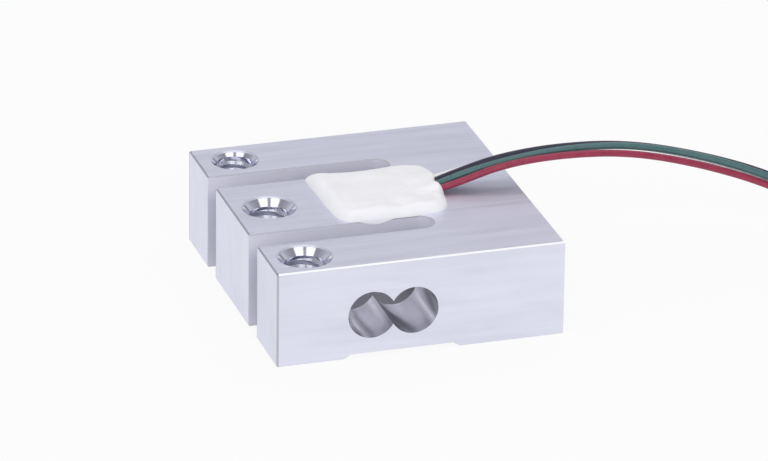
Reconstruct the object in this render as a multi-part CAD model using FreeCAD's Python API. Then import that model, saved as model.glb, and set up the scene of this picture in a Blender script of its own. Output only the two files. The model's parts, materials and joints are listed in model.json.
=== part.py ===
"""Single point load cell: an E-shaped aluminium beam with a binocular bore, a bonded strain gauge
bridge under white silicone, and four thin leads. Millimetres, +Z up. The origin is the centre of the
block's underside, +X points from the finger ends towards the lead exit, and +Y is across the fingers.
"""
import FreeCAD, Part
import math
import os

from FreeCAD import Vector

# ---- the block
BODY_LENGTH = 37.0  # along X, finger ends to the solid end
BODY_WIDTH = 40.0  # along Y
BODY_HEIGHT = 12.5
EDGE_BREAK = 0.18  # chamfer round the top and bottom outlines

OUTER_FINGER = 8.8  # width of each outer finger
SLOT_WIDTH = 3.7
SLOT_REACH = 23.25  # from the finger ends to the slots' round ends

HOLE_SETBACK = 4.8  # from the finger ends to the tapped holes
HOLE_DRILL = 5.0  # tapping drill of an M6 thread
COUNTERSINK = 7.0  # mouth of the cone on the near and middle fingers
FAR_COUNTERSINK = 6.2  # the far finger's cone is shallower
CONE_ANGLE = 90.0

BORE_DIAMETER = 6.2
BORE_PITCH = 5.4  # between the two overlapping bores
BORE_SETBACK = 14.9  # from the finger ends to the middle of the pair
BORE_HEIGHT = 5.65  # axis above the underside

RELIEF_SETBACK = 8.55  # from the finger ends to the start of the underside's relief
RELIEF_LENGTH = 15.05
RELIEF_DEPTH = 0.62
RELIEF_RAMP = 0.9  # length of each sloping end

# ---- the gauges and their wiring, on the middle finger
CARRIER_LENGTH = 2.4
CARRIER_WIDTH = 5.6
CARRIER_THICKNESS = 0.1
GAUGE_PITCH = 3.8  # between the two gauges, either side of the bores' middle

GRID_SPACING = 2.7  # between the two grids of one gauge
GRID_LINES = 8
GRID_LINE = 0.09  # width of one foil line
GRID_GAP = 0.07
GRID_LENGTH = 1.2
FOIL_THICKNESS = 0.05
TAB_LENGTH = 0.55
TAB_WIDTH = 0.45

STRIP_LENGTH = 2.4
STRIP_WIDTH = 5.4
STRIP_THICKNESS = 0.25
STRIP_OFFSET = 6.9  # from the bores' middle to the middle of the terminal strip
PAD_LENGTH = 2.0
PAD_WIDTH = 0.9
PAD_PITCH = 1.2
PAD_THICKNESS = 0.05

DOT_RADIUS = 0.24  # solder on a gauge tab
DOT_HEIGHT = 0.16
MOUND_RADIUS = 0.42  # solder on a terminal pad
MOUND_HEIGHT = 0.34
JUMPER_DIAMETER = 0.12
LONG_RISES = (0.65, 0.65, 0.65, 0.65)  # arch of the left gauge's jumpers, which pass over the right gauge
SHORT_RISES = (0.12, 0.4, 0.12, 0.12)  # arch of the right gauge's jumpers, where the middle two cross
CONDUCTOR_DIAMETER = 0.4
CONDUCTOR_LENGTH = 1.5
STRIPPED_GAP = 0.7  # bare wire between the strip's edge and the insulation

# ---- the silicone
COAT_SETBACK = 11.5  # from the finger ends to the coating's left edge
COAT_LENGTH = 15.9
COAT_MARGIN = 0.1  # left bare along each edge of the middle finger
COAT_HEIGHT = 1.5
COAT_CORNER = 1.9
COAT_ROUND = 0.9  # rounding of its upper edge
POCKET_HEIGHT = 1.15  # the room under the coating for the gauges' wiring
POCKET_CLEARANCE = 0.1

# ---- the leads
LEAD_DIAMETER = 0.9
COIL_REACH = 71.3  # from the start of the insulation to the middle of the coil
COIL_ASIDE = 1.6  # the coil's middle in Y
COIL_RADIUS = 7.1  # of the bundle's middle
COIL_TURNS = 1.95
COIL_PITCH = 2.1  # rise of the bundle in one turn
BUNDLE_REACH = 1.1  # half of the bundle's thickness
BUNDLE_HEIGHT = 1.3  # bundle's middle above the surface, where it lies down
BUNDLE_SPREAD = 0.47  # from the bundle's middle to each lead, along Y and Z
COIL_STUB = 6.0  # straight stretch that leads into the coil
STUB_WIDTH = 2.0
COIL_TOP_SWEEP = 180.0  # degrees, the stretch of the last turn that stands highest
END_DIAMETER = 0.6
END_LENGTH = 4.0
TIE_THICKNESS = 0.2
TIE_SECTOR = 12.0  # degrees of the coil that the tie covers
TIE_STEM = 3.0
TIE_STEM_DIAMETER = 0.8

# Each lead runs from its terminal, through the silicone, up in a low arch and down to the surface that
# the block stands on. route() carries the points along when the terminals move.
LEAD_ROUTES = {
    "red": [
        (5.2, -1.8, 13.0), (7.2, -1.55, 13.0), (10.6, -1.35, 13.6), (16.5, -1.25, 15.3),
        (24.5, -1.15, 15.75), (33.5, -1.3, 15.1), (43.0, -2.0, 12.6), (52.0, -3.2, 9.2),
        (59.5, -4.5, 4.9), (65.0, -5.6, 1.6), (68.0, -5.97, 0.83), (70.5, -5.97, 0.83),
    ],
    "green": [
        (5.2, -0.6, 13.0), (7.2, -0.5, 13.0), (10.6, -0.38, 14.1), (16.5, -0.27, 15.4),
        (24.5, -0.15, 16.15), (33.5, -0.3, 15.8), (43.0, -1.1, 13.5), (52.0, -2.85, 10.35),
        (59.5, -4.4, 6.15), (65.0, -5.6, 2.7), (68.0, -5.97, 1.77), (70.5, -5.97, 1.77),
    ],
    "black": [
        (5.2, 0.6, 13.0), (7.2, 0.58, 13.0), (10.6, 0.58, 14.1), (16.5, 0.7, 15.6),
        (24.5, 0.83, 16.1), (33.5, 0.7, 15.55), (43.0, -0.12, 13.3), (52.0, -1.85, 10.35),
        (59.5, -3.4, 6.15), (65.0, -4.6, 2.7), (68.0, -5.03, 1.77), (70.5, -5.03, 1.77),
    ],
    "white": [
        (5.2, 1.8, 13.0), (7.2, 1.65, 13.0), (10.6, 1.55, 13.75), (16.5, 1.67, 14.75),
        (24.5, 1.8, 15.4), (33.5, 1.65, 15.1), (43.0, 0.75, 12.7), (52.0, -1.45, 9.25),
        (59.5, -3.4, 4.9), (65.0, -4.6, 1.6), (68.0, -5.03, 0.83), (70.5, -5.03, 0.83),
    ],
}

# ---- places that follow from the sizes above
FINGER_ENDS = -BODY_LENGTH / 2
TOP = BODY_HEIGHT
MIDDLE_FINGER = BODY_WIDTH - 2 * (OUTER_FINGER + SLOT_WIDTH)
SLOT_CENTRE = (MIDDLE_FINGER + SLOT_WIDTH) / 2  # distance of each slot's centreline from the middle
BORE_MIDDLE = FINGER_ENDS + BORE_SETBACK
STRIP_X = BORE_MIDDLE + STRIP_OFFSET
GAUGE_X = {"left": BORE_MIDDLE - GAUGE_PITCH / 2, "right": BORE_MIDDLE + GAUGE_PITCH / 2}
FOIL_Z = TOP + CARRIER_THICKNESS
PAD_Z = TOP + STRIP_THICKNESS
GRID_PITCH = GRID_LINE + GRID_GAP
TAB_X = GRID_LENGTH / 2 + TAB_LENGTH / 2  # a tab's middle from its gauge's middle
TAB_REACH = (GRID_LINES - 1) * GRID_PITCH / 2  # a tab's middle from its grid's middle
TERMINALS = [(i - 1.5) * PAD_PITCH for i in range(4)]
CONDUCTOR_Z = PAD_Z + PAD_THICKNESS + CONDUCTOR_DIAMETER / 2
LEAD_START = Vector(STRIP_X + STRIP_LENGTH / 2 + STRIPPED_GAP, 0, CONDUCTOR_Z)
COIL_PLACE = Vector(LEAD_START.x + COIL_REACH, COIL_ASIDE, 0)
TABS = [side * GRID_SPACING / 2 + end * TAB_REACH for side in (-1, 1) for end in (-1, 1)]


def block(x, y, z, length, width, height):
    """A box by the middle of its underside."""
    return Part.makeBox(length, width, height, Vector(x - length / 2, y - width / 2, z))


def polygon(points):
    return Part.Face(Part.makePolygon([Vector(*p) for p in points + points[:1]]))


def union(shapes):
    return shapes[0].multiFuse(shapes[1:]).removeSplitter() if len(shapes) > 1 else shapes[0]


# ---- the block
def slot(centre):
    """One slot between two fingers, open at the finger ends and round at the other."""
    half = SLOT_WIDTH / 2
    straight = SLOT_REACH - half
    mouth = Part.makeBox(straight, SLOT_WIDTH, BODY_HEIGHT, Vector(FINGER_ENDS, centre - half, 0))
    return mouth.fuse(Part.makeCylinder(half, BODY_HEIGHT, Vector(FINGER_ENDS + straight, centre, 0)))


def beam_blank():
    """The E-shaped plan with the edges of its top and bottom broken."""
    plate = block(0, 0, 0, BODY_LENGTH, BODY_WIDTH, BODY_HEIGHT)
    blank = plate.cut([slot(-SLOT_CENTRE), slot(SLOT_CENTRE)]).removeSplitter()
    flat = [e for e in blank.Edges if e.BoundBox.ZLength < EDGE_BREAK / 2]
    return blank.makeChamfer(EDGE_BREAK, flat)


def tapped_hole(y, mouth):
    """Drill and cone of one hole, to be cut from the beam."""
    depth = (mouth - HOLE_DRILL) / 2 / math.tan(math.radians(CONE_ANGLE / 2))
    place = Vector(FINGER_ENDS + HOLE_SETBACK, y, TOP - depth)
    cone = Part.makeCone(HOLE_DRILL / 2, mouth / 2, depth, place)
    drill = Part.makeCylinder(HOLE_DRILL / 2, BODY_HEIGHT, Vector(place.x, y, 0))
    return drill.fuse(cone)


def binocular_bore():
    bores = []
    for side in (-1, 1):
        place = Vector(BORE_MIDDLE + side * BORE_PITCH / 2, -BODY_WIDTH / 2, BORE_HEIGHT)
        bores.append(Part.makeCylinder(BORE_DIAMETER / 2, BODY_WIDTH, place, Vector(0, 1, 0)))
    return bores


def underside_relief():
    start = FINGER_ENDS + RELIEF_SETBACK
    end = start + RELIEF_LENGTH
    y = -BODY_WIDTH / 2
    ramp, depth = RELIEF_RAMP, RELIEF_DEPTH
    points = [(start, y, 0), (start + ramp, y, depth), (end - ramp, y, depth), (end, y, 0)]
    return polygon(points).extrude(Vector(0, BODY_WIDTH, 0))


def load_cell_body():
    hole_y = (BODY_WIDTH - OUTER_FINGER) / 2
    mouths = ((-hole_y, COUNTERSINK), (0, COUNTERSINK), (hole_y, FAR_COUNTERSINK))
    holes = [tapped_hole(y, mouth) for y, mouth in mouths]
    return beam_blank().cut(holes + binocular_bore() + [underside_relief()])


# ---- strain gauges
def gauge_carrier(side):
    x = GAUGE_X[side] + TAB_LENGTH / 2
    return block(x, 0, TOP, CARRIER_LENGTH, CARRIER_WIDTH, CARRIER_THICKNESS)


def foil_grid(x, y):
    """One grid: parallel lines joined at alternate ends, with a tab on the first and the last line."""
    pieces = []
    for i in range(GRID_LINES):
        line_y = y - TAB_REACH + i * GRID_PITCH
        pieces.append(block(x, line_y, FOIL_Z, GRID_LENGTH, GRID_LINE, FOIL_THICKNESS))
        if i < GRID_LINES - 1:
            turn_x = x + (-1 if i % 2 == 0 else 1) * (GRID_LENGTH - GRID_LINE) / 2
            turn_y = line_y + GRID_PITCH / 2
            pieces.append(block(turn_x, turn_y, FOIL_Z, GRID_LINE, GRID_PITCH, FOIL_THICKNESS))
    for end in (-1, 1):
        pieces.append(block(x + TAB_X, y + end * TAB_REACH, FOIL_Z, TAB_LENGTH, TAB_WIDTH, FOIL_THICKNESS))
    return union(pieces)


def gauge_grids(side):
    return [foil_grid(GAUGE_X[side], s * GRID_SPACING / 2) for s in (-1, 1)]


# ---- terminals and wiring
def terminal_strip():
    return block(STRIP_X, 0, TOP, STRIP_LENGTH, STRIP_WIDTH, STRIP_THICKNESS)


def terminal_pads():
    return [block(STRIP_X, y, PAD_Z, PAD_LENGTH, PAD_WIDTH, PAD_THICKNESS) for y in TERMINALS]


def solder_drop(x, y, z, radius, height):
    return Part.makeCone(radius, radius / 2, height, Vector(x, y, z))


def jumper(start, end, rise):
    """A fine wire that arches from one joint to another."""
    middle = (start + end) / 2 + Vector(0, 0, rise)
    arc = Part.Arc(start, middle, end).toShape()
    ring = Part.Circle(start, arc.tangentAt(arc.FirstParameter), JUMPER_DIAMETER / 2).toShape()
    turn = math.degrees(arc.Length / arc.Curve.Radius)
    return Part.Face(Part.Wire(ring)).revolve(arc.Curve.Center, arc.Curve.Axis, turn)


JUMPER_X = STRIP_X - PAD_LENGTH / 2 + 0.35 * PAD_LENGTH / 2
JUMPER_Z = PAD_Z + PAD_THICKNESS + JUMPER_DIAMETER / 2
TAB_TOP = FOIL_Z + FOIL_THICKNESS + JUMPER_DIAMETER / 2


def gauge_jumpers(side, terminals, rises):
    """The four wires of one gauge, from its tabs to the given terminals."""
    aside = (1 if side == "left" else -1) * PAD_WIDTH / 5
    wires = []
    for tab, terminal, rise in zip(TABS, terminals, rises):
        start = Vector(GAUGE_X[side] + TAB_X, tab, TAB_TOP)
        wires.append(jumper(start, Vector(JUMPER_X, TERMINALS[terminal] + aside, JUMPER_Z), rise))
    return wires


def lead_conductors():
    """The stripped end of each lead, lying on its pad."""
    wires = []
    for colour in LEAD_ROUTES:
        start, after = route(colour)[:2]
        wires.append(Part.makeCylinder(CONDUCTOR_DIAMETER / 2, CONDUCTOR_LENGTH, start, start - after))
    return wires


def gauge_solder():
    z = FOIL_Z + FOIL_THICKNESS
    return [solder_drop(x + TAB_X, y, z, DOT_RADIUS, DOT_HEIGHT) for x in GAUGE_X.values() for y in TABS]


def terminal_solder(conductors):
    """The drop on each pad, flowed round the stripped end that it holds."""
    z = PAD_Z + PAD_THICKNESS
    return [solder_drop(STRIP_X, y, z, MOUND_RADIUS, MOUND_HEIGHT).cut(conductors) for y in TERMINALS]


# ---- silicone
def wiring_pocket():
    """The room that the coating leaves for the carriers, the terminal strip and the wires between them."""
    start = GAUGE_X["left"] - CARRIER_LENGTH / 2 + TAB_LENGTH / 2 - POCKET_CLEARANCE
    end = LEAD_START.x + POCKET_CLEARANCE
    width = max(CARRIER_WIDTH, STRIP_WIDTH) + 2 * POCKET_CLEARANCE
    return block((start + end) / 2, 0, TOP, end - start, width, POCKET_HEIGHT)


def silicone_coating(leads):
    """The coating over the gauges and terminals, moulded round the leads."""
    x = FINGER_ENDS + COAT_SETBACK + COAT_LENGTH / 2
    blank = block(x, 0, TOP, COAT_LENGTH, MIDDLE_FINGER - 2 * COAT_MARGIN, COAT_HEIGHT)
    upright = [e for e in blank.Edges if e.BoundBox.ZLength > COAT_HEIGHT / 2]
    coat = blank.makeFillet(COAT_CORNER, upright)
    upper = [e for e in coat.Edges if e.BoundBox.ZMin > TOP + COAT_HEIGHT / 2]
    return coat.makeFillet(COAT_ROUND, upper).cut([wiring_pocket()] + leads)


# ---- leads
def route(colour):
    """A lead's points: the first at its terminal, and the rest carried along with it."""
    listed = LEAD_ROUTES[colour]
    terminal = TERMINALS[list(LEAD_ROUTES).index(colour)]
    onward, rise = LEAD_START.x - listed[0][0], LEAD_START.z / listed[0][2]
    carried = [Vector(x + onward, y, z * rise) for x, y, z in listed[1:]]
    return [LEAD_START + Vector(0, terminal, 0)] + carried


def rounded_path(points):
    """Straight runs joined by tangent arcs as large as the runs allow. Gives the wire and the radii."""
    edges, radii, at = [], [], points[0]
    for before, corner, after in zip(points, points[1:], points[2:]):
        into, out = (corner - before), (after - corner)
        half_turn = into.getAngle(out) / 2
        cut = 0.45 * min(into.Length, out.Length)
        radii.append(cut / math.tan(half_turn))
        into.normalize()
        out.normalize()
        start, end = corner - into * cut, corner + out * cut
        inward = out - into
        inward.normalize()
        middle = corner + inward * (radii[-1] / math.cos(half_turn) - radii[-1])
        edges += [Part.LineSegment(at, start).toShape(), Part.Arc(start, middle, end).toShape()]
        at = end
    edges.append(Part.LineSegment(at, points[-1]).toShape())
    return Part.Wire(edges), radii


def lead(colour):
    points = route(colour)
    path, radii = rounded_path(points)
    ring = Part.Wire(Part.Circle(points[0], points[1] - points[0], LEAD_DIAMETER / 2).toShape())
    tube = path.makePipeShell([ring], True, False)
    expected = math.pi * LEAD_DIAMETER**2 / 4 * path.Length
    print(colour, "lead: radii", [round(r, 1) for r in radii], "length", round(path.Length, 2))
    print("   volume", round(tube.Volume, 3), "section times length", round(expected, 3))
    return tube


def coil_section(top, grow=0.0):
    """The stacked turns in section, as X and Z in the coil's own plane, grown by the given amount."""
    inner, outer = COIL_RADIUS - BUNDLE_REACH - grow, COIL_RADIUS + BUNDLE_REACH + grow
    high, bevel = top + grow, BUNDLE_REACH / 2
    return [(inner, 0), (outer, 0), (outer, high - bevel), (outer - bevel, high),
            (inner + bevel, high), (inner, high - bevel)]


def turned(section, start, sweep):
    """A section turned about the coil's axis from one angle through another, in degrees."""
    face = polygon([(x, 0, z) for x, z in section])
    face.rotate(Vector(), Vector(0, 0, 1), start)
    solid = face.revolve(Vector(), Vector(0, 0, 1), sweep)
    solid.translate(COIL_PLACE)
    return solid


COIL_END = COIL_TURNS * 360 - 90 - 360  # degrees round the coil, where the last turn stops
COIL_SHOULDER = BUNDLE_HEIGHT + COIL_PITCH + BUNDLE_REACH
COIL_TOP = BUNDLE_HEIGHT + COIL_TURNS * COIL_PITCH + BUNDLE_REACH


def lead_tie():
    """A thin band round the coil on the side away from the leads, with its twisted stem."""
    start = 90 - TIE_SECTOR / 2
    outside = turned(coil_section(COIL_TOP, TIE_THICKNESS), start, TIE_SECTOR)
    inside = turned(coil_section(COIL_TOP), start, TIE_SECTOR)
    across = 4 * COIL_RADIUS
    floor_band = block(COIL_PLACE.x, COIL_PLACE.y, 0, across, across, TIE_THICKNESS)
    band = outside.cut(inside).fuse(outside.common(floor_band))
    reach = (COIL_RADIUS + BUNDLE_REACH) * math.cos(math.radians(TIE_SECTOR / 2))
    place = COIL_PLACE + Vector(0, reach, BUNDLE_HEIGHT)
    stem = Part.makeCylinder(TIE_STEM_DIAMETER / 2, TIE_STEM, place, Vector(0, 1, 0))
    return union([band, stem.cut(inside)])


def lead_coil(tie):
    """The outer shape of the coiled bundle: its stacked turns, and the stub that leads in."""
    stub_x, stub_y = COIL_PLACE.x - COIL_STUB / 2, COIL_PLACE.y - COIL_RADIUS
    stub = block(stub_x, stub_y, 0, COIL_STUB, STUB_WIDTH, BUNDLE_HEIGHT + BUNDLE_REACH)
    shoulder = turned(coil_section(COIL_SHOULDER), COIL_END, 360 - COIL_TOP_SWEEP)
    last_turn = turned(coil_section(COIL_TOP), COIL_END - COIL_TOP_SWEEP, COIL_TOP_SWEEP)
    return union([shoulder, last_turn, stub]).cut(tie)


def lead_end(along_y, along_z):
    """One lead's bare tinned end, lying along the coil where its last turn stops."""
    angle = math.radians(COIL_END)
    outward = Vector(math.cos(angle), math.sin(angle), 0)
    onward = Vector(-math.sin(angle), math.cos(angle), 0)
    height = BUNDLE_HEIGHT + COIL_TURNS * COIL_PITCH + along_z * BUNDLE_SPREAD
    place = COIL_PLACE + outward * (COIL_RADIUS + along_y * BUNDLE_SPREAD) + Vector(0, 0, height)
    return Part.makeCylinder(END_DIAMETER / 2, END_LENGTH, place, onward)


def build():
    """Every node by its name, each a solid or a group of solids."""
    conductors = lead_conductors()
    dots, mounds = gauge_solder(), terminal_solder(conductors)
    long_jumpers = gauge_jumpers("left", (0, 1, 2, 3), LONG_RISES)
    short_jumpers = gauge_jumpers("right", (0, 2, 1, 3), SHORT_RISES)
    nodes = {
        "left_gauge_carrier": [gauge_carrier("left")],
        "right_gauge_carrier": [gauge_carrier("right")],
        "left_gauge_grids": gauge_grids("left"),
        "right_gauge_grids": gauge_grids("right"),
        "gauge_solder": dots,
        "left_gauge_jumpers": [wire.cut(dots + mounds) for wire in long_jumpers],
        "right_gauge_jumpers": [wire.cut(dots + mounds) for wire in short_jumpers],
        "terminal_strip": [terminal_strip()],
        "terminal_pads": terminal_pads(),
        "terminal_solder": mounds,
        "lead_conductors": conductors,
    }
    leads = {colour: lead(colour) for colour in LEAD_ROUTES}
    nodes.update({colour + "_lead": [tube] for colour, tube in leads.items()})
    nodes["silicone_coating"] = [silicone_coating(list(leads.values()))]
    nodes["load_cell_body"] = [load_cell_body()]
    tie = lead_tie()
    nodes["lead_tie"] = [tie]
    nodes["lead_coil"] = [lead_coil(tie)]
    for colour, (y, z) in (("red", (1, -1)), ("green", (1, 1)), ("black", (-1, 1)), ("white", (-1, -1))):
        nodes[colour + "_lead_end"] = [lead_end(y, z)]
    return nodes


os.makedirs("parts", exist_ok=True)
for name, solids in build().items():
    shape = solids[0] if len(solids) == 1 else Part.makeCompound(solids)
    shape.exportStep("parts/" + name + ".step")
    state = "valid" if shape.isValid() else "INVALID"
    print(name, len(shape.Solids), "solids", round(shape.Volume, 3), "mm3", state)
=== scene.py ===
"""Looks for the single point load cell: brushed aluminium, hand-laid silicone, PVC leads, studio light."""
import math
import json

import bmesh
import bpy
from mathutils import Matrix, Vector, noise


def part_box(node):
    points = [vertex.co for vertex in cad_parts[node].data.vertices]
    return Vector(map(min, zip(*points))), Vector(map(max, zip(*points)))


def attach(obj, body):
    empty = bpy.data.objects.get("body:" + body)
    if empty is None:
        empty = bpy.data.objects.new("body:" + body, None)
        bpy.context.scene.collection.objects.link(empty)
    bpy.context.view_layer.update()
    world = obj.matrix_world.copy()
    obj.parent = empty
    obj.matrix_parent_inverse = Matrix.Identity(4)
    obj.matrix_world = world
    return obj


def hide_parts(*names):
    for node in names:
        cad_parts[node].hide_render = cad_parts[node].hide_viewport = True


MM = 0.001

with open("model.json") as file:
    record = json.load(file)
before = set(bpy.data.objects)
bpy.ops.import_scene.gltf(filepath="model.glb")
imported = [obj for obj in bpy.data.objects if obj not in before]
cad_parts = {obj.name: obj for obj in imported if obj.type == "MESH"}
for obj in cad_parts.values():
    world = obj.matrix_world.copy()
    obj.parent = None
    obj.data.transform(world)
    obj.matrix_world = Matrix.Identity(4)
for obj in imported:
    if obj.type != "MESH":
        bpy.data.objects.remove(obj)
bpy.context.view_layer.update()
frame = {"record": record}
scene = bpy.context.scene
scene.view_settings.view_transform = "Standard"

body_low, body_high = (Vector(c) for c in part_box("load_cell_body"))
TOP = body_high.z
MOUNTS = {m["name"]: m for m in frame["record"]["mounts"]}


# ---- camera
CAMERA_AZIMUTH, CAMERA_ELEVATION, CAMERA_ROLL = (math.radians(a) for a in (-17.469, 23.791, 0.744))
CAMERA_DISTANCE = 0.78931
CAMERA_SHIFT_RIGHT, CAMERA_SHIFT_UP = 0.0012825, 0.001333  # of its place and its aim, from the block's middle
CAMERA_LENS, SENSOR_WIDTH = 294.38, 36.0
CLIP_START, CLIP_END = 0.01, 10.0


def add_camera():
    az, el, roll = CAMERA_AZIMUTH, CAMERA_ELEVATION, CAMERA_ROLL
    back = Vector((math.sin(az) * math.cos(el), -math.cos(az) * math.cos(el), math.sin(el)))
    level = Vector((math.cos(az), math.sin(az), 0))
    upright = back.cross(level)
    right = math.cos(roll) * level + math.sin(roll) * upright
    up = back.cross(right)
    aim = (body_low + body_high) / 2
    place = aim + right * CAMERA_SHIFT_RIGHT + up * CAMERA_SHIFT_UP + back * CAMERA_DISTANCE
    data = bpy.data.cameras.new("camera")
    data.lens, data.sensor_width, data.sensor_fit = CAMERA_LENS, SENSOR_WIDTH, "HORIZONTAL"
    data.clip_start, data.clip_end = CLIP_START, CLIP_END
    camera = link("camera", data)
    camera.matrix_world = Matrix.Translation(place) @ Matrix((right, up, back)).transposed().to_4x4()
    scene.camera = camera


# ---- small helpers
def link(name, data):
    """A new object in the scene."""
    piece = bpy.data.objects.new(name, data)
    scene.collection.objects.link(piece)
    return piece


def mesh_piece(name, mesh):
    """A new object from a finished bmesh, which is freed."""
    data = bpy.data.meshes.new(name)
    mesh.to_mesh(data)
    mesh.free()
    return link(name, data)


def smooth(t):
    """0 up to 0, 1 from 1 on, and an even S between."""
    t = min(max(t, 0.0), 1.0)
    return t * t * (3 - 2 * t)


def neighbours(ring):
    """Each point of a closed ring, with the next."""
    return zip(ring, ring[1:] + ring[:1])


def add_rings(mesh, sections, closed):
    """Skin over rings of points, in mm: round to the first ring again, or capped at both ends."""
    rings = [[mesh.verts.new(Vector(p) * MM) for p in section] for section in sections]
    for ring, onward in zip(rings, rings[1:] + ([rings[0]] if closed else [])):
        for (a, b), (c, d) in zip(neighbours(ring), neighbours(onward)):
            mesh.faces.new((a, c, d, b))
    if not closed:
        mesh.faces.new(rings[0])
        mesh.faces.new(list(reversed(rings[-1])))


# ---- node trees
NOISE_LOW, NOISE_HIGH = 0.3, 0.7  # nearly all of a noise lies between these
NOISE_DETAIL = 3.0
MASK_SOFTNESS = 0.00001
# The Mix node's sockets by number, because those for numbers and for colours share their names.
MIX_SOCKETS = {"FLOAT": (2, 3, 0), "RGBA": (6, 7, 2)}


class Tree:
    """A node tree to build on: each method adds what it says and gives its output."""

    def __init__(self, tree):
        self.nodes, self.links = tree.nodes, tree.links

    def feed(self, socket, value):
        """Gives a socket a node's output, a colour or a number."""
        if isinstance(value, bpy.types.NodeSocket):
            self.links.new(value, socket)
        elif isinstance(value, tuple):
            socket.default_value = (*value, 1)
        else:
            socket.default_value = value

    def axes(self, space="Object"):
        """X, Y and Z of the object's own coordinates, in metres, or of another kind of coordinates."""
        place = self.nodes.new("ShaderNodeTexCoord")
        split = self.nodes.new("ShaderNodeSeparateXYZ")
        self.feed(split.inputs["Vector"], place.outputs[space])
        return [split.outputs[axis] for axis in "XYZ"]

    def noise(self, scale, stretch=(1, 1, 1), detail=NOISE_DETAIL):
        """Noise over the object's own coordinates, in features per metre."""
        place = self.nodes.new("ShaderNodeTexCoord")
        mapping = self.nodes.new("ShaderNodeMapping")
        mapping.inputs["Scale"].default_value = [scale * s for s in stretch]
        grain = self.nodes.new("ShaderNodeTexNoise")
        grain.inputs["Scale"].default_value = 1.0
        grain.inputs["Detail"].default_value = detail
        self.feed(mapping.inputs["Vector"], place.outputs["Object"])
        self.feed(grain.inputs["Vector"], mapping.outputs["Vector"])
        return grain.outputs["Fac"]

    def arithmetic(self, operation, *values):
        node = self.nodes.new("ShaderNodeMath")
        node.operation = operation
        for socket, value in zip(node.inputs, values):
            self.feed(socket, value)
        return node.outputs["Value"]

    def minus(self, first, second):
        return self.arithmetic("SUBTRACT", first, second)

    def times(self, first, second):
        return self.arithmetic("MULTIPLY", first, second)

    def larger(self, first, second):
        return self.arithmetic("MAXIMUM", first, second)

    def absolute(self, value):
        return self.arithmetic("ABSOLUTE", value)

    def length(self, first, second):
        """The length of the step whose two parts are given."""
        squares = [self.times(part, part) for part in (first, second)]
        return self.arithmetic("SQRT", self.arithmetic("ADD", *squares))

    def remap(self, value, low, high, start=NOISE_LOW, end=NOISE_HIGH):
        """From low, where the value is at the start or before, to high, where it is at the end or past it."""
        node = self.nodes.new("ShaderNodeMapRange")
        for name, number in (("From Min", start), ("From Max", end), ("To Min", low), ("To Max", high)):
            node.inputs[name].default_value = number
        self.feed(node.inputs["Value"], value)
        return node.outputs["Result"]

    def beyond(self, value, start, end):
        """0 up to the start, 1 from the end on, and a ramp between."""
        return self.remap(value, 0.0, 1.0, start, end)

    def within(self, value, limit, softness=MASK_SOFTNESS):
        """1 where a length in metres is under the limit, and 0 where it is over."""
        return self.remap(value, 1.0, 0.0, limit - softness, limit + softness)

    def ramp(self, value, stops):
        """A colour that runs with the value through stops, each a position and a colour."""
        node = self.nodes.new("ShaderNodeValToRGB")
        elements = node.color_ramp.elements
        elements[0].position, elements[1].position = stops[0][0], stops[-1][0]
        for position, _ in stops[1:-1]:
            elements.new(position)
        for element, (_, colour) in zip(elements, stops):
            element.color = (*colour, 1)
        self.feed(node.inputs["Fac"], value)
        return node.outputs["Color"]

    def blend(self, factor, first, second, kind="FLOAT"):
        """From the first to the second with the factor: numbers, or with the kind RGBA colours."""
        node = self.nodes.new("ShaderNodeMix")
        node.data_type = kind
        start, end, result = MIX_SOCKETS[kind]
        self.feed(node.inputs[0], factor)
        self.feed(node.inputs[start], first)
        self.feed(node.inputs[end], second)
        return node.outputs[result]

    def bump(self, value, depth):
        node = self.nodes.new("ShaderNodeBump")
        node.inputs["Strength"].default_value = 1.0
        node.inputs["Distance"].default_value = depth
        self.feed(node.inputs["Height"], value)
        return node.outputs["Normal"]


def new_material(name):
    """A new material, its tree and its shader."""
    material = bpy.data.materials.new(name)
    material.use_nodes = True
    tree = Tree(material.node_tree)
    return material, tree, tree.nodes["Principled BSDF"]


# ---- speckled finishes: two colours, speckles per metre, roughness, metallic, and relief in metres
FINISHES = {
    "red_insulation": ((0.28, 0.017, 0.055), (0.33, 0.025, 0.07), 900, (0.26, 0.34), 0.0, 0.00001),
    "green_insulation": ((0.055, 0.14, 0.145), (0.075, 0.165, 0.165), 900, (0.26, 0.34), 0.0, 0.00001),
    "black_insulation": ((0.010, 0.008, 0.030), (0.015, 0.012, 0.042), 900, (0.26, 0.34), 0.0, 0.00001),
    "white_insulation": ((0.80, 0.80, 0.82), (0.85, 0.85, 0.87), 900, (0.26, 0.34), 0.0, 0.00001),
    "silicone_rubber": ((0.89, 0.89, 0.91), (0.93, 0.93, 0.95), 400, (0.34, 0.46), 0.0, 0.00003),
    "tie_plastic": ((0.03, 0.03, 0.033), (0.05, 0.05, 0.055), 1500, (0.35, 0.5), 0.0, 0.00002),
    "thread_metal": ((0.62, 0.63, 0.72), (0.70, 0.71, 0.80), 3000, (0.2, 0.3), 1.0, 0.0),
    "gauge_film": ((0.72, 0.47, 0.13), (0.82, 0.56, 0.19), 3000, (0.35, 0.5), 0.0, 0.0),
    "gauge_foil": ((0.60, 0.55, 0.46), (0.70, 0.64, 0.54), 6000, (0.3, 0.45), 1.0, 0.0),
    "jumper_enamel": ((0.42, 0.16, 0.05), (0.55, 0.24, 0.09), 5000, (0.25, 0.35), 0.6, 0.0),
    "solder": ((0.66, 0.66, 0.66), (0.78, 0.78, 0.77), 2500, (0.18, 0.32), 1.0, 0.00001),
    "terminal_board": ((0.27, 0.39, 0.23), (0.35, 0.48, 0.31), 3500, (0.4, 0.55), 0.0, 0.0),
    "pad_copper": ((0.80, 0.45, 0.30), (0.90, 0.55, 0.38), 4000, (0.25, 0.4), 1.0, 0.0),
}


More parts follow.
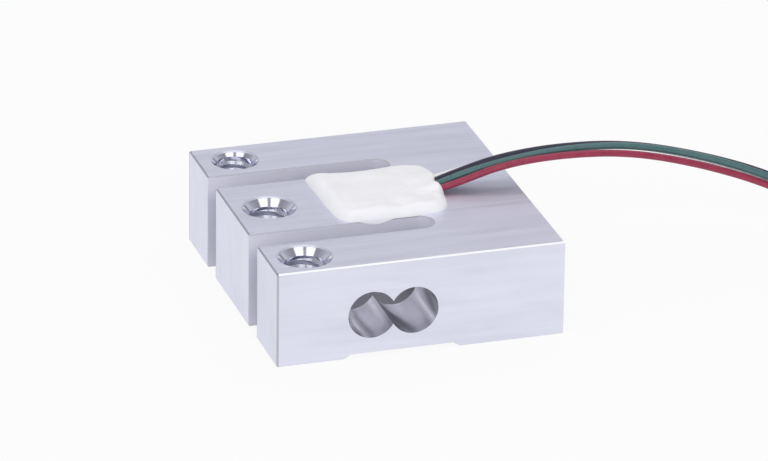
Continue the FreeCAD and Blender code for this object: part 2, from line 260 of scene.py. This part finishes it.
def speckled(name):
    """A finish from the list above, whose colour, gloss and relief follow one noise."""
    dark, light, scale, rough, metallic, depth = FINISHES[name]
    material, tree, shader = new_material(name)
    grain = tree.noise(scale)
    tree.feed(shader.inputs["Base Color"], tree.ramp(grain, ((NOISE_LOW, dark), (NOISE_HIGH, light))))
    tree.feed(shader.inputs["Roughness"], tree.remap(grain, *rough))
    shader.inputs["Metallic"].default_value = metallic
    if depth:
        tree.feed(shader.inputs["Normal"], tree.bump(grain, depth))
    return material


# ---- leads: the routes of part.py, then the turns of the coil
LEAD_DIAMETER = 0.9 * MM
COIL_PLACE = Vector((76.5, 1.6, 0))
COIL_RADIUS, COIL_TURNS, COIL_PITCH = 7.1, 1.95, 2.1
COIL_START = -90  # degrees round the coil, where the leads come in along X
BUNDLE_HEIGHT, BUNDLE_SPREAD = 1.3, 0.47
POINTS_PER_TURN = 16
STRAND_LENGTH, STRAND_LAY, STRAND_RADIUS, STRAND_POINTS = 4.0, 5.0, 0.1, 8
OUTER_STRANDS, STRAND_ROOT = 6, 0.5  # round the middle one, which starts this far inside the lead

LEAD_ROUTES = {
    "red": [
        (5.2, -1.8, 13.0), (7.2, -1.55, 13.0), (10.6, -1.35, 13.6), (16.5, -1.25, 15.3),
        (24.5, -1.15, 15.75), (33.5, -1.3, 15.1), (43.0, -2.0, 12.6), (52.0, -3.2, 9.2),
        (59.5, -4.5, 4.9), (65.0, -5.6, 1.6), (68.0, -5.97, 0.83), (70.5, -5.97, 0.83),
    ],
    "green": [
        (5.2, -0.6, 13.0), (7.2, -0.5, 13.0), (10.6, -0.38, 14.1), (16.5, -0.27, 15.4),
        (24.5, -0.15, 16.15), (33.5, -0.3, 15.8), (43.0, -1.1, 13.5), (52.0, -2.85, 10.35),
        (59.5, -4.4, 6.15), (65.0, -5.6, 2.7), (68.0, -5.97, 1.77), (70.5, -5.97, 1.77),
    ],
    "black": [
        (5.2, 0.6, 13.0), (7.2, 0.58, 13.0), (10.6, 0.58, 14.1), (16.5, 0.7, 15.6),
        (24.5, 0.83, 16.1), (33.5, 0.7, 15.55), (43.0, -0.12, 13.3), (52.0, -1.85, 10.35),
        (59.5, -3.4, 6.15), (65.0, -4.6, 2.7), (68.0, -5.03, 1.77), (70.5, -5.03, 1.77),
    ],
    "white": [
        (5.2, 1.8, 13.0), (7.2, 1.65, 13.0), (10.6, 1.55, 13.75), (16.5, 1.67, 14.75),
        (24.5, 1.8, 15.4), (33.5, 1.65, 15.1), (43.0, 0.75, 12.7), (52.0, -1.45, 9.25),
        (59.5, -3.4, 4.9), (65.0, -4.6, 1.6), (68.0, -5.03, 0.83), (70.5, -5.03, 0.83),
    ],
}
# Where each lead lies in the bundle as it enters the coil: outwards and up from the bundle's middle.
BUNDLE_PLACES = {"red": (1, -1), "green": (1, 1), "black": (-1, 1), "white": (-1, -1)}


def coil_points(colour):
    """Points of one lead along the coil, while the bundle turns once about its own middle."""
    outward, up = (BUNDLE_SPREAD * c for c in BUNDLE_PLACES[colour])
    steps = round(COIL_TURNS * POINTS_PER_TURN)
    points = []
    for i in range(steps + 1):
        done = i / steps
        angle = math.radians(COIL_TURNS * done * 360 + COIL_START)
        lay = done * 2 * math.pi
        reach = COIL_RADIUS + outward * math.cos(lay) - up * math.sin(lay)
        height = BUNDLE_HEIGHT + COIL_TURNS * done * COIL_PITCH + outward * math.sin(lay) + up * math.cos(lay)
        points.append(COIL_PLACE + Vector((reach * math.cos(angle), reach * math.sin(angle), height)))
    return points


def tube(name, lines, radius, roundness, smoothness):
    """One curve object with an open NURBS spline for each list of points, in mm."""
    curve = bpy.data.curves.new(name, "CURVE")
    curve.dimensions = "3D"
    # The bevel is 1 m deep and each point's radius scales it, so that the curve's own box is true.
    curve.bevel_depth = 1.0
    curve.bevel_resolution = roundness
    curve.resolution_u = smoothness
    curve.use_fill_caps = True
    for points in lines:
        spline = curve.splines.new("NURBS")
        spline.points.add(len(points) - 1)
        for spot, point in zip(spline.points, points):
            spot.co = (*(Vector(point) * MM), 1.0)
            spot.radius = radius
        spline.order_u = 3
        spline.use_endpoint_u = True
    piece = link(name, curve)
    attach(piece, "root")
    return piece


def add_strands(colour):
    """The bare tinned strands at the end of a lead: six laid round one, in the frame's own plain finish."""
    before, end = coil_points(colour)[-2:]
    onward = (end - before).normalized()
    aside = onward.cross(Vector((0, 0, 1))).normalized()
    upward = aside.cross(onward)
    turns = STRAND_LENGTH / STRAND_LAY
    tip = end + onward * STRAND_LENGTH
    lines = [[end - onward * STRAND_ROOT, end + onward * STRAND_LENGTH * 0.5, tip]]
    for strand in range(OUTER_STRANDS):
        line = []
        for i in range(STRAND_POINTS + 1):
            done = i / STRAND_POINTS
            turn = 2 * math.pi * (strand / OUTER_STRANDS + turns * done)
            around = aside * math.cos(turn) + upward * math.sin(turn)
            line.append(end + onward * STRAND_LENGTH * done + around * 2 * STRAND_RADIUS)
        lines.append(line)
    piece = tube(colour + "_strands", lines, STRAND_RADIUS * MM, roundness=2, smoothness=6)
    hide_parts(colour + "_lead_end")
    piece.data.materials.append(bpy.data.materials["tinned_copper"])
    return piece


def add_lead(colour):
    """One lead from under the silicone to its bare end. The red one also stands for the coil's solid."""
    points = [Vector(p) for p in LEAD_ROUTES[colour]] + coil_points(colour)
    wire = tube(colour + "_lead_wire", [points], LEAD_DIAMETER / 2, roundness=6, smoothness=10)
    nodes = [colour + "_lead"] + (["lead_coil"] if colour == "red" else [])
    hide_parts(*nodes)
    add_strands(colour)
    wire.data.materials.append(speckled(colour + "_insulation"))


# ---- the block's finish, in places that are measured in metres on the block
# Grains of noise: features per metre, their stretch along X, Y and Z, and their detail.
BRUSH_FINE = (7000, (0.012, 1, 0.15), 3.0)
BRUSH_COARSE = (1500, (0.03, 1, 0.12), 4.0)
BLOTCHES = (260, (0.3, 1, 0.6), 5.0)
BRUSH_SPAN, BRUSH_TONES = (0.35, 0.65), (0.0, 0.75)  # of the noise, and the tones that it becomes
TONE_SPAN = (0.3, 1.0)  # the tones of the dark and of the light colour
BRUSH_DEPTH = 0.00001
BRUSHED_DARK, BRUSHED_LIGHT = (0.68, 0.685, 0.795), (0.81, 0.815, 0.925)
BRUSHED_ROUGH = (0.36, 0.50)

EDGE_BREAK = 0.00018
CHAMFER_SOFTNESS = 0.00002
CUT_START = (0.000005, 0.00001)  # from the top: under this a wall is cut, not brushed
# Painted highlight: a lighter colour on the front top chamfer.
PAINTED_HIGHLIGHT_COLOUR = (0.98, 0.98, 1.0)
END_EDGE_ROUGH = 0.22
# How far from the finger ends' upright outer edges the painted shade reaches, and how soft its border is.
CORNER_SHADE_REACH, CORNER_SHADE_SOFTNESS = 0.00022, 0.00003
# Painted shade: a dark line on the slots' rim chamfers and along the finger ends' upright outer edges.
PAINTED_EDGE_SHADE_COLOUR = (0.50, 0.50, 0.56)

CONE_REACH, CONE_DEPTH = 0.0036, 0.0014
CONE_RIM = (0.00016, 0.00019)  # from the top: the mouth above it keeps the block's own finish
CONE_ROUGH = 0.11

BORE_MIDDLE, BORE_PITCH, BORE_RADIUS, BORE_HEIGHT = -0.0036, 0.0054, 0.0031, 0.00565
BORE_MARGIN = 0.00003
BORE_COLOUR = (0.93, 0.93, 0.98)
BORE_ROUGH = 0.22

SLOT_CENTRE, SLOT_HALF, SLOT_END = 0.00935, 0.00185, 0.00475
SLOT_MARGIN = 0.00002
SLOT_SHADE_DEPTHS = (0.0018, 0.0034)  # from the top: over these depths painted shade darkens the slot walls
SLOT_INNER_SHADE_SPAN = (-0.015, -0.009)  # along X: past this span the painted shade deep in the slots darkens further, away from the open end
SLOT_COLOUR = (0.78, 0.78, 0.87)
# Painted shade on the slot walls: darker lower down, and darkest deep inside, away from the open end.
SLOT_LOW_SHADE_COLOUR = (0.67, 0.67, 0.76)
SLOT_INNER_SHADE_COLOUR = (0.40, 0.40, 0.46)
SLOT_ROUGH, SLOT_METALLIC = 0.60, 0.3


def hole_cone(tree, x, y, depth):
    """1 on the cones over the tapped holes, and 0 elsewhere."""
    hole_x = MOUNTS["middle_finger_thread"]["pos_m"][0]
    hole_y = MOUNTS["far_finger_thread"]["pos_m"][1]
    across = tree.absolute(y)
    off_outer = tree.absolute(tree.minus(across, hole_y))
    off_axis = tree.arithmetic("MINIMUM", across, off_outer)
    round_hole = tree.within(tree.length(tree.minus(x, hole_x), off_axis), CONE_REACH)
    under = tree.beyond(depth, *CONE_RIM)
    return tree.times(round_hole, tree.times(under, tree.within(depth, CONE_DEPTH)))


def bore_wall(tree, x, z):
    """1 on the walls of the two bores, and 0 elsewhere."""
    aside = tree.minus(tree.absolute(tree.minus(x, BORE_MIDDLE)), BORE_PITCH / 2)
    distance = tree.length(aside, tree.minus(z, BORE_HEIGHT))
    return tree.within(distance, BORE_RADIUS + BORE_MARGIN)


def slot_wall(tree, x, y):
    """1 on the walls of the two slots and the small chamfers over them, and 0 elsewhere."""
    beside = tree.minus(tree.absolute(tree.minus(tree.absolute(y), SLOT_CENTRE)), SLOT_HALF)
    outside = tree.larger(beside, tree.minus(x, SLOT_END))
    return tree.within(outside, EDGE_BREAK + SLOT_MARGIN)


def slot_inner_shade(tree, x, depth):
    """1 where the slots' walls are deep and far from the open end, where their painted shade is darkest, and
    0 elsewhere.
    """
    return tree.times(tree.beyond(depth, *SLOT_SHADE_DEPTHS), tree.beyond(x, *SLOT_INNER_SHADE_SPAN))


def chamfer(tree, z, along, low):
    """1 on the small chamfer over the face at the low end of an axis, and 0 elsewhere."""
    edge = TOP - low - EDGE_BREAK
    return tree.beyond(tree.minus(z, along), edge - CHAMFER_SOFTNESS, edge)


def end_corner_shade(tree, x, y):
    """1 along the upright outer edges of the finger ends, where a dark line of painted shade goes, and 0
    elsewhere.
    """
    along = tree.minus(x, body_low.x)
    inward = tree.minus(body_high.y, tree.absolute(y))
    return tree.within(tree.larger(along, inward), CORNER_SHADE_REACH, CORNER_SHADE_SOFTNESS)


def brushed_block():
    """Drawn and milled aluminium: brushed along X, smooth cones and bores, matt walls in the slots. A painted
    highlight on the front top edge, and painted shade on the slots' rims, deep in the slots and along the
    finger ends' upright outer edges.
    """
    material, tree, shader = new_material("brushed_aluminium")
    x, y, z = tree.axes()
    depth = tree.minus(TOP, z)
    cone = hole_cone(tree, x, y, depth)
    bore = bore_wall(tree, x, z)
    cut = tree.beyond(depth, *CUT_START)
    slot = tree.times(slot_wall(tree, x, y), cut)
    # The slots' rim chamfers, where a dark line of painted shade goes.
    rim = tree.times(slot, tree.times(cut, tree.within(depth, EDGE_BREAK)))
    slot = tree.times(slot, tree.minus(1.0, bore))
    end_edge = chamfer(tree, z, x, body_low.x)
    # The front top chamfer, where the painted highlight goes.
    front_highlight = chamfer(tree, z, y, body_low.y)
    # The finger ends' upright outer edges, where a dark line of painted shade goes.
    corner = end_corner_shade(tree, x, y)

    brush = tree.times(tree.arithmetic("ADD", tree.noise(*BRUSH_FINE), tree.noise(*BRUSH_COARSE)), 0.5)
    tone = tree.blend(tree.noise(*BLOTCHES), tree.remap(brush, *BRUSH_TONES, *BRUSH_SPAN), 1.0)
    colour = tree.ramp(tone, ((TONE_SPAN[0], BRUSHED_DARK), (TONE_SPAN[1], BRUSHED_LIGHT)))
    # Painted shade on the slot walls: darker with depth, and darkest deep and far from the open end.
    wall = tree.blend(tree.beyond(depth, *SLOT_SHADE_DEPTHS), SLOT_COLOUR, SLOT_LOW_SHADE_COLOUR, "RGBA")
    wall = tree.blend(slot_inner_shade(tree, x, depth), wall, SLOT_INNER_SHADE_COLOUR, "RGBA")
    # Painted highlight on the front edge, painted shade in the slots, on the slots' rims and on the finger
    # ends' upright edges.
    for mask, paint in (
        (front_highlight, PAINTED_HIGHLIGHT_COLOUR), (bore, BORE_COLOUR), (slot, wall), (rim, PAINTED_EDGE_SHADE_COLOUR), (corner, PAINTED_EDGE_SHADE_COLOUR),
    ):
        colour = tree.blend(mask, colour, paint, "RGBA")
    tree.feed(shader.inputs["Base Color"], colour)

    roughness = tree.remap(brush, *BRUSHED_ROUGH)
    for mask, rough in (
        (end_edge, END_EDGE_ROUGH), (cone, CONE_ROUGH), (bore, BORE_ROUGH), (slot, SLOT_ROUGH),
    ):
        roughness = tree.blend(mask, roughness, rough)
    tree.feed(shader.inputs["Roughness"], roughness)
    tree.feed(shader.inputs["Metallic"], tree.remap(slot, 1.0, SLOT_METALLIC, 0.0, 1.0))

    plain = tree.minus(1.0, tree.larger(tree.larger(cone, end_edge), bore))
    tree.feed(shader.inputs["Normal"], tree.bump(tree.times(brush, plain), BRUSH_DEPTH))
    return material


# ---- the CAD nodes that stay, by finish. The lead conductors keep the frame's own plain finish.
DRESSED_NODES = {
    "gauge_film": ("left_gauge_carrier", "right_gauge_carrier"),
    "gauge_foil": ("left_gauge_grids", "right_gauge_grids"),
    "jumper_enamel": ("left_gauge_jumpers", "right_gauge_jumpers"),
    "solder": ("gauge_solder", "terminal_solder"),
    "terminal_board": ("terminal_strip",),
    "pad_copper": ("terminal_pads",),
}


def dress(material, nodes):
    """CAD nodes get this material in place of their plain one."""
    for node in nodes:
        materials = bpy.data.objects[node].data.materials
        materials.clear()
        materials.append(material)


def dress_cad_nodes():
    dress(brushed_block(), ("load_cell_body",))
    for name, nodes in DRESSED_NODES.items():
        dress(speckled(name), nodes)


# ---- the twist tie round the coil
TIE_WIDTH, TIE_THICKNESS = 1.7, 0.26
TIE_HALF_REACH, TIE_LOW, TIE_HIGH, TIE_CORNER = 1.14, 1.2, 5.6, 0.75
TIE_STEM_HEIGHT, TIE_STEM_LENGTH = 2.4, 3.0
TIE_END_OFFSET, TIE_END_HALF_WIDTH, TIE_END_HALF_THICKNESS = 0.15, 0.42, 0.13
TIE_ARC_STEPS, TIE_TWISTS, TIE_TWIST_STEPS = 7, 2.5, 36
# Sections: the band's, over half its width and outward, and that of each end, over both halves.
TIE_BAND = ((-1, 0), (-1, 0.7), (-0.8, 1), (0.8, 1), (1, 0.7), (1, 0))
TIE_END = ((-1, -0.6), (-0.8, -1), (0.8, -1), (1, -0.6), (1, 0.6), (0.8, 1), (-0.8, 1), (-1, 0.6))


def rounded_loop(half, low, high, corner):
    """A rounded rectangle as places and outward directions, from its low outer corner onward."""
    loop = []
    for side, upper, start in ((1, False, -90), (1, True, 0), (-1, True, 90), (-1, False, 180)):
        for i in range(TIE_ARC_STEPS):
            angle = math.radians(start + 90 * i / (TIE_ARC_STEPS - 1))
            out = Vector((math.cos(angle), math.sin(angle)))
            middle = Vector((side * (half - corner), high - corner if upper else low + corner))
            loop.append((middle + out * corner, out))
    return loop


def add_tie():
    """A plastic-coated wire tie: a flat band round both turns, and its two ends twisted together."""
    mesh = bmesh.new()
    origin = COIL_PLACE + Vector((0, COIL_RADIUS, 0))
    sections = []
    for place, out in rounded_loop(TIE_HALF_REACH, TIE_LOW, TIE_HIGH, TIE_CORNER):
        section = []
        for along, off in TIE_BAND:
            spot = place + out * off * TIE_THICKNESS
            section.append(origin + Vector((along * TIE_WIDTH / 2, spot.x, spot.y)))
        sections.append(section)
    add_rings(mesh, sections, closed=True)
    stem = origin + Vector((0, TIE_HALF_REACH, TIE_STEM_HEIGHT))
    for start in (0, math.pi):
        sections = []
        for i in range(TIE_TWIST_STEPS + 1):
            done = i / TIE_TWIST_STEPS
            turn = start + 2 * math.pi * TIE_TWISTS * done
            wide = Vector((math.cos(turn), 0, math.sin(turn)))
            thick = Vector((-math.sin(turn), 0, math.cos(turn)))
            middle = stem + Vector((0, TIE_STEM_LENGTH * done, 0)) + thick * TIE_END_OFFSET
            sections.append([middle + wide * TIE_END_HALF_WIDTH * a + thick * TIE_END_HALF_THICKNESS * b
                             for a, b in TIE_END])
        add_rings(mesh, sections, closed=False)
    bmesh.ops.recalc_face_normals(mesh, faces=mesh.faces)
    piece = mesh_piece("twist_tie", mesh)
    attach(piece, "root")
    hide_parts("lead_tie")
    piece.data.materials.append(speckled("tie_plastic"))


# ---- the silicone, in mm
# Its outline on the block's top, from the block's middle, and how far its edge slopes in.
SILICONE_OUTLINE = [
    (-5.2, -7.15, 2.0), (-3.6, -7.46, 1.8), (0.0, -7.52, 1.7), (3.6, -7.5, 1.7), (6.4, -7.0, 1.8),
    (7.7, -5.75, 1.7), (8.2, -4.2, 1.5), (8.3, -3.1, 1.2), (8.45, -2.2, 0.8), (8.25, -1.5, 0.6),
    (7.9, -0.75, 0.5), (8.35, 0.5, 0.6), (8.7, 1.7, 0.8), (8.9, 2.9, 1.3), (8.95, 4.6, 1.8),
    (8.3, 6.3, 2.2), (6.7, 7.25, 3.0), (2.5, 7.45, 3.6), (-2.5, 7.4, 3.8), (-5.7, 7.4, 3.0),
    (-6.85, 7.15, 2.0), (-7.05, 6.0, 1.8), (-6.9, 1.0, 1.9), (-6.8, -3.0, 1.9), (-6.45, -5.6, 2.0),
]
SILICONE_MIDDLE = Vector((0.8, 0.2, 0))
SILICONE_HEIGHT = 1.15
SILICONE_ROUND, SILICONE_RINGS = 240, 44
RING_CROWDING = 1.6  # over 1 brings the rings closer together near the edge
UNDERSIDE_SHRINK = 0.95
EDGE_FULLNESS = 0.7  # under 1 makes the edge rounder
LUMPS = ((0.35, 0.22), (1.1, 0.05))  # per mm, and their height
# The swelling over the leads: where it starts along X and how it rises, its half width and fade, its height.
LEADS_START, LEADS_RISE, LEADS_HALF, LEADS_FADE, LEADS_HEIGHT = 3.0, 3.5, 3.4, 1.8, 0.35
# Over the wiring the lumps are flatter: its middle along X, its half length, half width and fade.
WIRING_MIDDLE, WIRING_ALONG, WIRING_ACROSS, WIRING_FADE, WIRING_FLATNESS = -1.0, 5.2, 3.6, 1.5, 0.7
# The run over the near slot's rim: its middle along X and half length, and how far down and out it goes.
DRIP_PLACE, DRIP_HALF, DRIP_DEPTH, DRIP_STAND = -2.0, 2.6, 0.5, 0.08


def closed_spline(points, count):
    """Points spread along a closed Catmull-Rom spline."""
    spread = []
    total = len(points)
    for i in range(count):
        at = i * total / count
        k, t = int(at), at - int(at)
        a, b, c, d = (Vector(points[(k + j - 1) % total]) for j in range(4))
        spread.append(0.5 * (2 * b + (c - a) * t + (2 * a - 5 * b + 4 * c - d) * t**2
                             + (3 * b - 3 * c + d - a) * t**3))
    return spread


def silicone_rise(place, inward, slope):
    """Height of the silicone above the block, at a place that lies that far inside its edge."""
    edge = (1 - (1 - min(inward / slope, 1.0))**2)**EDGE_FULLNESS
    leads = smooth((place.x - LEADS_START) / LEADS_RISE) * smooth((LEADS_HALF - abs(place.y)) / LEADS_FADE)
    wiring = smooth((WIRING_ACROSS - abs(place.y)) / WIRING_FADE)
    wiring *= smooth((WIRING_ALONG - abs(place.x - WIRING_MIDDLE)) / WIRING_FADE)
    lumps = sum(noise.noise(place * pitch) * height for pitch, height in LUMPS)
    return edge * (SILICONE_HEIGHT + LEADS_HEIGHT * leads + lumps * (1 - WIRING_FLATNESS * wiring))


def drip(x, y):
    """1 where the silicone's edge has run over the near slot's rim, and 0 elsewhere."""
    return smooth(1 - abs(x - DRIP_PLACE) / DRIP_HALF) if y < 0 else 0.0


def over_block(place, height=0.0):
    """A vertex's place in metres, from its place in mm on the block's top and its height over it."""
    return (place + Vector((0, 0, TOP / MM + height))) * MM


def add_silicone():
    """Rings from a flat underside up over the edge, closer together there, and in to a peak."""
    outline = closed_spline(SILICONE_OUTLINE, SILICONE_ROUND)
    mesh = bmesh.new()
    underside = []
    for x, y, _ in outline:
        place = SILICONE_MIDDLE + (Vector((x, y, 0)) - SILICONE_MIDDLE) * UNDERSIDE_SHRINK
        underside.append(mesh.verts.new(over_block(place)))
    rings = [underside]
    for ring in range(SILICONE_RINGS):
        shrink = 1 - (ring / SILICONE_RINGS)**RING_CROWDING
        spots = []
        for x, y, slope in outline:
            rim = Vector((x, y, 0))
            place = SILICONE_MIDDLE + (rim - SILICONE_MIDDLE) * shrink
            height = silicone_rise(place, (rim - place).length, slope)
            if ring == 0:
                hang = drip(x, y)
                height -= hang * DRIP_DEPTH
                place.y -= hang * DRIP_STAND
            spots.append(mesh.verts.new(over_block(place, height)))
        rings.append(spots)
    full_height = silicone_rise(SILICONE_MIDDLE, inward=1.0, slope=1.0)
    peak = mesh.verts.new(over_block(SILICONE_MIDDLE, full_height))
    for outer, inner in zip(rings, rings[1:]):
        for (a, b), (c, d) in zip(neighbours(outer), neighbours(inner)):
            mesh.faces.new((a, b, d, c))
    for a, b in neighbours(rings[-1]):
        mesh.faces.new((a, b, peak))
    mesh.faces.new(list(reversed(underside)))
    for a, b in neighbours(rings[1]):
        mesh.edges.get((a, b)).smooth = False
    piece = mesh_piece("silicone", mesh)
    piece.data.shade_smooth()
    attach(piece, "root")
    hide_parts("silicone_coating")
    piece.data.materials.append(speckled("silicone_rubber"))


# ---- the threads, in mm
THREAD_PITCH, THREAD_DEPTH = 1.0, 0.3
THREAD_ROOT_HALF, THREAD_CREST_HALF = 0.44, 0.06  # of the pitch
THREAD_SINK = 0.03  # its root lies this far inside the hole's wall
THREAD_STEPS, THREAD_FADE_STEPS = 48, 12  # per turn, and at each end
THREAD_LOW_GAP, THREAD_HIGH_GAP = 0.7, 0.45
THREAD_SECTION = (
    (-THREAD_SINK, -THREAD_ROOT_HALF), (THREAD_DEPTH, -THREAD_CREST_HALF),
    (THREAD_DEPTH, THREAD_CREST_HALF), (-THREAD_SINK, THREAD_ROOT_HALF),
)


def add_thread(name, place, radius, low, high, metal):
    """A helical ridge that stands in from the wall of a tapped hole."""
    turns = (high - low) / THREAD_PITCH
    steps = round(turns * THREAD_STEPS)
    sections = []
    for i in range(steps + 1):
        angle = 2 * math.pi * turns * i / steps
        fade = min(1.0, i / THREAD_FADE_STEPS, (steps - i) / THREAD_FADE_STEPS)
        middle = low + (high - low) * i / steps
        around = Vector((math.cos(angle), math.sin(angle), 0))
        section = []
        for inward, rise in THREAD_SECTION:
            inward = inward * fade - THREAD_SINK * (1 - fade)
            section.append(place + around * (radius - inward)
                           + Vector((0, 0, middle + rise * THREAD_PITCH * fade)))
        sections.append(section)
    mesh = bmesh.new()
    add_rings(mesh, sections, closed=False)
    bmesh.ops.recalc_face_normals(mesh, faces=mesh.faces)
    piece = mesh_piece(name, mesh)
    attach(piece, "root")
    piece.data.materials.append(metal)


def add_threads():
    metal = speckled("thread_metal")
    for finger in ("near", "middle", "far"):
        mount = MOUNTS[finger + "_finger_thread"]
        x, y, z = (c / MM for c in mount["pos_m"])
        radius, half = mount["dims"]["r_mm"], mount["dims"]["length_mm"] / 2
        low, high = z - half + THREAD_LOW_GAP, z + half - THREAD_HIGH_GAP
        add_thread(finger + "_thread", Vector((x, y, 0)), radius, low, high, metal)


# ---- floor
FLOOR_SIZE, FLOOR_DROP = 6, 0.00002
FLOOR_COLOUR, FLOOR_ROUGH = (0.86, 0.86, 0.87), 0.9
FLOOR_WHITENESS = 0.88  # the share of plain white: the rest is lit, and keeps the object's shadow


def add_floor():
    """A pale floor that looks white to the camera and in gloss."""
    bpy.ops.mesh.primitive_plane_add(size=FLOOR_SIZE, location=(0, 0, -FLOOR_DROP))
    floor = bpy.context.object
    floor.name = "floor"
    material, tree, shader = new_material("pale_floor")
    tree.feed(shader.inputs["Base Color"], FLOOR_COLOUR)
    shader.inputs["Roughness"].default_value = FLOOR_ROUGH
    shader.inputs["Specular IOR Level"].default_value = 0.0
    white = tree.nodes.new("ShaderNodeEmission")
    white.inputs["Color"].default_value = (1, 1, 1, 1)
    white.inputs["Strength"].default_value = 1.0
    path = tree.nodes.new("ShaderNodeLightPath")
    seen = path.outputs["Is Camera Ray"]
    for other in ("Is Glossy Ray", "Is Transmission Ray"):
        seen = tree.larger(seen, path.outputs[other])
    mix = tree.nodes.new("ShaderNodeMixShader")
    tree.feed(mix.inputs["Fac"], tree.times(seen, FLOOR_WHITENESS))
    tree.feed(mix.inputs[1], shader.outputs["BSDF"])
    tree.feed(mix.inputs[2], white.outputs["Emission"])
    tree.feed(tree.nodes["Material Output"].inputs["Surface"], mix.outputs["Shader"])
    floor.data.materials.append(material)


# ---- world and lights
# Height of the sky as the sine of its elevation, and its level there.
WORLD_LEVELS = [
    (0.0, 0.95), (0.17, 0.95), (0.21, 0.30), (0.33, 0.30), (0.37, 0.66), (0.50, 0.58), (0.60, 0.46),
    (0.80, 0.31), (0.90, 0.40), (1.0, 0.36),
]
WORLD_BLUE = 1.05
SOFTBOX_HEIGHT = 0.6
SOFTBOX_NEAR, SOFTBOX_FAR = 0.055, 0.36  # from the middle plane, sideways
SOFTBOX_BACK, SOFTBOX_FRONT = -0.10, 0.40  # from the block, towards the camera
SOFTBOX_POWER = 0.5
FILL_SIZE, FILL_PLACE, FILL_POWER = (1.0, 0.5), 0.42, 1.6  # behind the block, overhead
FRONT_SIZE, FRONT_PLACE, FRONT_HEIGHT, FRONT_POWER = (1.1, 0.4), 0.8, 0.45, 3.0


def add_world():
    """Bright at the horizon, dark in a band over it, and fading from half bright above, as in a studio."""
    world = bpy.data.worlds.new("studio")
    world.use_nodes = True
    tree = Tree(world.node_tree)
    _, _, height = tree.axes("Generated")
    stops = [(position, (level, level, level * WORLD_BLUE)) for position, level in WORLD_LEVELS]
    tree.feed(tree.nodes["Background"].inputs["Color"], tree.ramp(height, stops))
    scene.world = world


def add_softbox(size, aside, ahead, power, height=SOFTBOX_HEIGHT, tilt=0.0):
    """One panel, placed from the block: sideways, and ahead towards the camera. Tilt turns it backwards."""
    data = bpy.data.lights.new("softbox", "AREA")
    data.shape = "RECTANGLE"
    data.size, data.size_y = size
    data.energy = power
    light = link("softbox", data)
    turn = Matrix.Rotation(CAMERA_AZIMUTH, 4, "Z")
    light.matrix_world = turn @ Matrix.Translation((aside, -ahead, height)) @ Matrix.Rotation(tilt, 4, "X")


def add_softboxes():
    """Two either side of the plane through the camera and the block, a wide one behind, and one in front."""
    size = (SOFTBOX_FAR - SOFTBOX_NEAR, SOFTBOX_FRONT - SOFTBOX_BACK)
    for side in (-1, 1):
        aside = side * (SOFTBOX_NEAR + SOFTBOX_FAR) / 2
        add_softbox(size, aside, (SOFTBOX_BACK + SOFTBOX_FRONT) / 2, SOFTBOX_POWER)
    add_softbox(FILL_SIZE, 0, -FILL_PLACE, FILL_POWER)
    add_softbox(FRONT_SIZE, 0, FRONT_PLACE, FRONT_POWER, FRONT_HEIGHT, math.atan2(FRONT_PLACE, FRONT_HEIGHT))


add_camera()
for colour in LEAD_ROUTES:
    add_lead(colour)
add_tie()
dress_cad_nodes()
add_silicone()
add_threads()
add_floor()
add_world()
add_softboxes()
